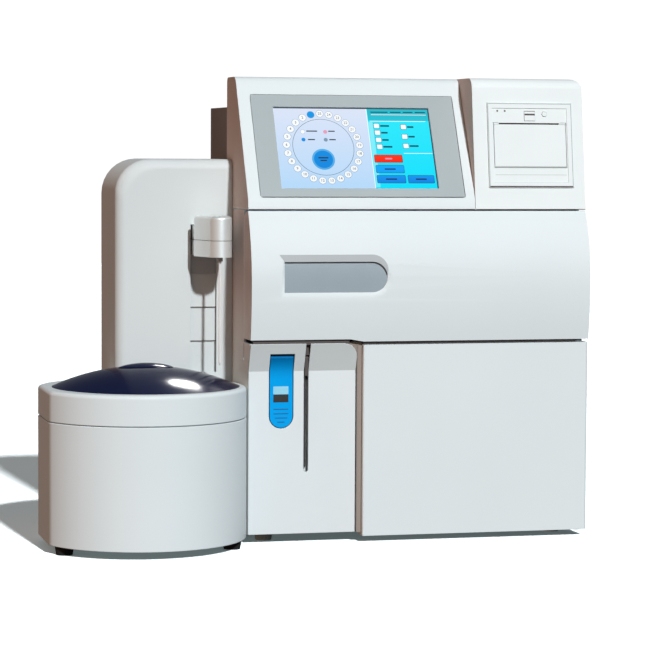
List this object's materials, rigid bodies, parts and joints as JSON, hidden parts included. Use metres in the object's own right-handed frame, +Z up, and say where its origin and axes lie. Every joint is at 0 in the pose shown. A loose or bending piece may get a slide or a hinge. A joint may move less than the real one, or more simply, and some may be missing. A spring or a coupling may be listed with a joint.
{
  "type": "blood gas analyzer",
  "caption": "Bench blood gas analyzer: tilted touch screen, printer, bulged chamber door, reagent door, sampling lever, and a side sample changer with tray, lid and probe arm.",
  "frame": {"origin": "middle of the footprint, on the bench under the feet", "axes": "+X to the right seen from the front, +Y to the back, +Z up; the screen faces -Y"},
  "size_m": [0.5264, 0.3215, 0.4433],
  "materials": {
    "housing_white": "light moulded housing plastic with a soft sheen",
    "housing_dark": "dark fine-textured housing plastic",
    "bezel_grey": "grey satin plastic",
    "screen_glass": "lit screen behind smooth glass",
    "printer_white": "light satin plastic",
    "window_grey": "grey tinted translucent plastic",
    "lever_blue": "bright blue satin plastic",
    "lid_navy": "polished dark blue tinted plastic",
    "arm_silver": "silver paint",
    "tray_grey": "grey moulded plastic",
    "steel": "plain steel",
    "chrome": "hard polished steel",
    "black_plastic": "black plastic",
    "rubber": "black rubber",
    "paper": "white paper and card",
    "clear_plastic": "clear moulded plastic"
  },
  "bodies": {
    "root": {"foot_front_left": "rubber", "foot_front_right": "rubber", "foot_rear_left": "rubber", "foot_rear_right": "rubber", "tub_foot_left": "rubber", "tub_foot_right": "rubber", "left_side_panel": "housing_white", "right_side_panel": "housing_white", "base_plate": "steel", "bulkhead": "steel", "middle_shelf": "steel", "rear_cover": "housing_dark", "power_inlet": "black_plastic", "bay_panel": "housing_white", "lever_bearings": "steel", "door_hinge_rod": "steel", "reagent_hinge_pin": "steel", "display_head": "housing_white", "display_bezel": "bezel_grey", "touch_screen": "screen_glass", "printer_head": "housing_white", "printer_fascia": "printer_white", "paper_bucket": "black_plastic", "electrode_manifold": "bezel_grey", "electrode_stack": "clear_plastic", "pump_housing": "housing_dark", "reagent_pack": "paper", "tub_shell": "housing_white", "tub_ring": "housing_white", "turn_motor": "black_plastic", "column_shell": "housing_white", "shutter_low": "housing_white", "lift_frame": "steel", "lift_motor": "black_plastic"},
    "lid": {"lid_dome": "lid_navy", "lid_grip": "lid_navy"},
    "carousel": {"tray_floor": "tray_grey", "tray_hub": "tray_grey", "tray_rim": "tray_grey"},
    "arm": {"arm_lower": "arm_silver", "arm_upper": "arm_silver", "sample_probe": "steel", "carriage": "black_plastic"},
    "middle_slat": {"shutter_middle": "housing_white"},
    "upper_slat": {"shutter_high": "housing_white"},
    "screw": {"lead_screw": "chrome"},
    "chamber_door": {"middle_door": "housing_white", "door_window": "window_grey"},
    "pack_door": {"reagent_door": "housing_white"},
    "lever": {"sample_lever": "lever_blue", "needle_arm": "steel", "stat_needle": "steel"},
    "paper_door": {"printer_door": "printer_white", "platen_roller": "rubber"},
    "latch": {"printer_latch": "printer_white"},
    "button": {"feed_button": "printer_white"},
    "roll": {"paper_roll": "paper"},
    "rotor": {"pump_rotor": "printer_white"},
    "rocker": {"power_switch": "black_plastic"}
  },
  "joints": [
    {"name": "lid_lift", "type": "slide", "parent": "root", "child": "lid", "axis": [0, 0, 1], "range_m": [0, 0.07]},
    {"name": "carousel_turn", "type": "hinge", "parent": "root", "child": "carousel", "pos_m": [-0.16615, -0.06175, 0.0763], "axis": [0, 0, 1], "continuous": true},
    {"name": "arm_slide", "type": "slide", "parent": "root", "child": "arm", "axis": [0, 0, 1], "range_m": [-0.08, 0]},
    {"name": "middle_slat_slide", "type": "slide", "parent": "root", "child": "middle_slat", "axis": [0, 0, 1], "range_m": [-0.0316, 0]},
    {"name": "upper_slat_slide", "type": "slide", "parent": "root", "child": "upper_slat", "axis": [0, 0, 1], "range_m": [-0.0645, 0]},
    {"name": "screw_turn", "type": "hinge", "parent": "root", "child": "screw", "pos_m": [-0.09995, 0.04475, 0.1583], "axis": [0, 0, 1], "continuous": true},
    {"name": "chamber_door_hinge", "type": "hinge", "parent": "root", "child": "chamber_door", "pos_m": [0.0959, -0.07325, 0.3118], "axis": [-1, 0, 0], "range_deg": [0, 70]},
    {"name": "pack_door_hinge", "type": "hinge", "parent": "root", "child": "pack_door", "pos_m": [0.25615, -0.07975, 0.0983], "axis": [0, 0, 1], "range_deg": [0, 100]},
    {"name": "lever_hinge", "type": "hinge", "parent": "root", "child": "lever", "pos_m": [-0.03245, -0.07808, 0.1755], "axis": [-1, 0, 0], "range_deg": [0, 40]},
    {"name": "paper_door_hinge", "type": "hinge", "parent": "root", "child": "paper_door", "pos_m": [0.20895, -0.06979, 0.35915], "axis": [1, 0, 0], "range_deg": [0, 80]},
    {"name": "latch_press", "type": "slide", "parent": "root", "child": "latch", "axis": [0, 0.9905, -0.1374], "range_m": [0, 0.0012], "stiffness_N_per_m": 400},
    {"name": "button_press", "type": "slide", "parent": "root", "child": "button", "axis": [0, 0.9905, -0.1374], "range_m": [0, 0.001], "stiffness_N_per_m": 400},
    {"name": "roll_turn", "type": "hinge", "parent": "root", "child": "roll", "pos_m": [0.20895, -0.03929, 0.35269], "axis": [1, 0, 0], "continuous": true},
    {"name": "rotor_turn", "type": "hinge", "parent": "root", "child": "rotor", "pos_m": [0.16365, 0.00245, 0.25438], "axis": [0, 1, 0], "continuous": true},
    {"name": "rocker_tip", "type": "hinge", "parent": "root", "child": "rocker", "pos_m": [0.05365, 0.15675, 0.0583], "axis": [1, 0, 0], "range_deg": [-5, 5]}
  ],
  "couplings": [
    {"joint": "middle_slat_slide", "follows": "arm_slide", "ratio": 0.394},
    {"joint": "upper_slat_slide", "follows": "arm_slide", "ratio": 0.804},
    {"joint": "screw_turn", "follows": "arm_slide", "rad_per_m": 314.16}
  ]
}
